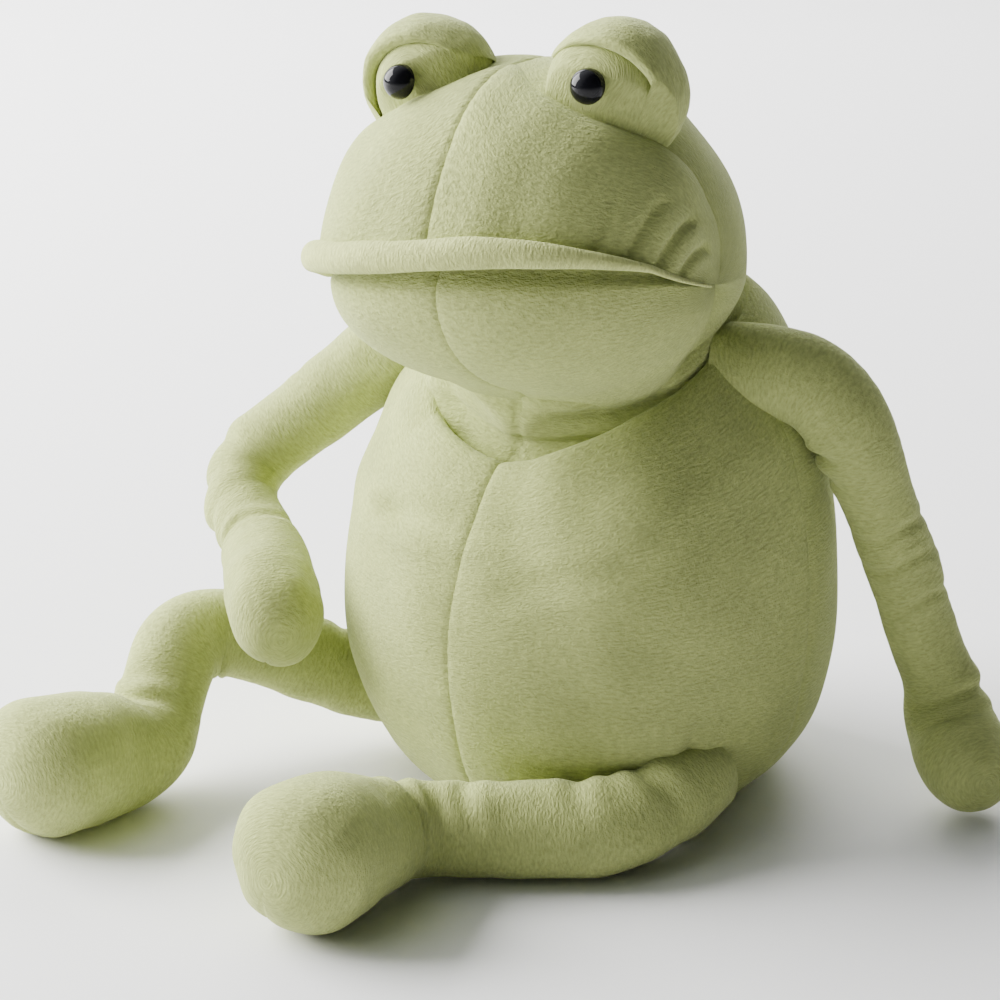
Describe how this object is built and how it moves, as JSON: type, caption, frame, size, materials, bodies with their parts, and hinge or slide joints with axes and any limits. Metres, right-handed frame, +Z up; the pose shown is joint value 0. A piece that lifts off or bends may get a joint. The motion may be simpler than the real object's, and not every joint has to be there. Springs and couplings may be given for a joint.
{
  "type": "hand puppet",
  "caption": "Seated plush frog hand puppet with a working mouth, limp jointed arms and legs, glossy black eyes and a hand opening in the back.",
  "frame": {"origin": "centre of the flat seat panel, on the floor", "axes": "+Z up, the frog faces -Y, its left side is +X"},
  "size_m": [0.2706, 0.2549, 0.2519],
  "materials": {
    "green_plush": "short brushed pile",
    "lip_plush": "short brushed pile, lighter",
    "mouth_cloth": "flat darker moss-green cloth",
    "lining_cloth": "plain woven lining",
    "white_filling": "loose polyester fibre",
    "pellet_bag": "cotton bag of plastic pellets",
    "black_plastic": "polished black",
    "washer_plastic": "white moulded plastic"
  },
  "bodies": {
    "torso": {"torso_front_left": "green_plush", "torso_front_right": "green_plush", "torso_back_left": "green_plush", "torso_back_right": "green_plush", "seat_panel": "green_plush", "torso_filling": "white_filling", "seat_pellet_bag": "pellet_bag", "hand_sleeve": "lining_cloth", "opening_binding": "green_plush"},
    "neck": {"neck_sleeve": "green_plush", "neck_filling": "white_filling"},
    "head": {"muzzle_left": "green_plush", "muzzle_right": "green_plush", "head_back_left": "green_plush", "head_back_right": "green_plush", "upper_lip_roll": "lip_plush", "palate_board": "mouth_cloth", "finger_pocket": "lining_cloth", "head_filling": "white_filling", "left_eye": "black_plastic", "left_eye_hood": "green_plush", "left_eye_mound": "green_plush", "left_eye_washer": "washer_plastic", "right_eye": "black_plastic", "right_eye_hood": "green_plush", "right_eye_mound": "green_plush", "right_eye_washer": "washer_plastic"},
    "lower_jaw": {"chin_left": "green_plush", "chin_right": "green_plush", "mouth_floor_board": "mouth_cloth", "thumb_pocket": "lining_cloth", "jaw_filling": "white_filling"},
    "left_upper_arm": {"left_upper_arm_skin": "green_plush", "left_upper_arm_filling": "white_filling"},
    "left_forearm": {"left_forearm_skin": "green_plush", "left_forearm_filling": "white_filling"},
    "left_hand": {"left_hand_skin": "green_plush", "left_hand_filling": "white_filling"},
    "left_thigh": {"left_thigh_skin": "green_plush", "left_thigh_filling": "white_filling"},
    "left_shin": {"left_shin_skin": "green_plush", "left_shin_filling": "white_filling"},
    "left_foot": {"left_foot_skin": "green_plush", "left_foot_filling": "white_filling"},
    "right_upper_arm": {"right_upper_arm_skin": "green_plush", "right_upper_arm_filling": "white_filling"},
    "right_forearm": {"right_forearm_skin": "green_plush", "right_forearm_filling": "white_filling"},
    "right_hand": {"right_hand_skin": "green_plush", "right_hand_filling": "white_filling"},
    "right_thigh": {"right_thigh_skin": "green_plush", "right_thigh_filling": "white_filling"},
    "right_shin": {"right_shin_skin": "green_plush", "right_shin_filling": "white_filling"},
    "right_foot": {"right_foot_skin": "green_plush", "right_foot_filling": "white_filling"}
  },
  "joints": [
    {"name": "neck_turn", "type": "hinge", "parent": "torso", "child": "neck", "pos_m": [0, 0.005, 0.13767], "axis": [0, -0.3161, 0.9487], "range_deg": [-30, 30]},
    {"name": "head_nod", "type": "hinge", "parent": "neck", "child": "head", "pos_m": [0, 0.00114, 0.14924], "axis": [1, 0, 0], "range_deg": [-5, 10]},
    {"name": "mouth_open", "type": "hinge", "parent": "head", "child": "lower_jaw", "pos_m": [0, -0.033, 0.1745], "axis": [0.9962, 0.0872, 0], "range_deg": [0, 12]},
    {"name": "left_shoulder", "type": "hinge", "parent": "torso", "child": "left_upper_arm", "pos_m": [0.057, 0.008, 0.14], "axis": [0, -1, 0], "range_deg": [0, 40]},
    {"name": "left_elbow", "type": "hinge", "parent": "left_upper_arm", "child": "left_forearm", "pos_m": [0.084, 0.013, 0.126], "axis": [0.0278, -0.9572, -0.2882], "range_deg": [-5, 40]},
    {"name": "left_wrist", "type": "hinge", "parent": "left_forearm", "child": "left_hand", "pos_m": [0.108, 0.042, 0.032], "axis": [-0.7727, -0.5236, -0.3588], "range_deg": [-30, 5]},
    {"name": "right_shoulder", "type": "hinge", "parent": "torso", "child": "right_upper_arm", "pos_m": [-0.065, 0.005, 0.135], "axis": [-0.4472, 0.8944, 0], "range_deg": [0, 35]},
    {"name": "right_elbow", "type": "hinge", "parent": "right_upper_arm", "child": "right_forearm", "pos_m": [-0.12, -0.03, 0.085], "axis": [0, 0, 1], "range_deg": [-20, 2]},
    {"name": "right_wrist", "type": "hinge", "parent": "right_forearm", "child": "right_hand", "pos_m": [-0.092, -0.054, 0.068], "axis": [0, 0, 1], "range_deg": [-15, 6]},
    {"name": "left_hip", "type": "hinge", "parent": "torso", "child": "left_thigh", "pos_m": [0.066, -0.05, 0.016], "axis": [0, 0, 1], "range_deg": [0, 20]},
    {"name": "left_knee", "type": "hinge", "parent": "left_thigh", "child": "left_shin", "pos_m": [0.028, -0.085, 0.0146], "axis": [0, 0, 1], "range_deg": [0, 30]},
    {"name": "left_ankle", "type": "hinge", "parent": "left_shin", "child": "left_foot", "pos_m": [0.001, -0.107, 0.015], "axis": [0, 0, 1], "range_deg": [-10, 6]},
    {"name": "right_hip", "type": "hinge", "parent": "torso", "child": "right_thigh", "pos_m": [-0.068, -0.035, 0.024], "axis": [0, 0, -1], "range_deg": [0, 15]},
    {"name": "right_knee", "type": "hinge", "parent": "right_thigh", "child": "right_shin", "pos_m": [-0.105, -0.07, 0.043], "axis": [-0.6643, 0.3412, -0.6651], "range_deg": [-4, 0]},
    {"name": "right_ankle", "type": "hinge", "parent": "right_shin", "child": "right_foot", "pos_m": [-0.1, -0.109, 0.018], "axis": [0, 0, -1], "range_deg": [-10, 25]}
  ]
}
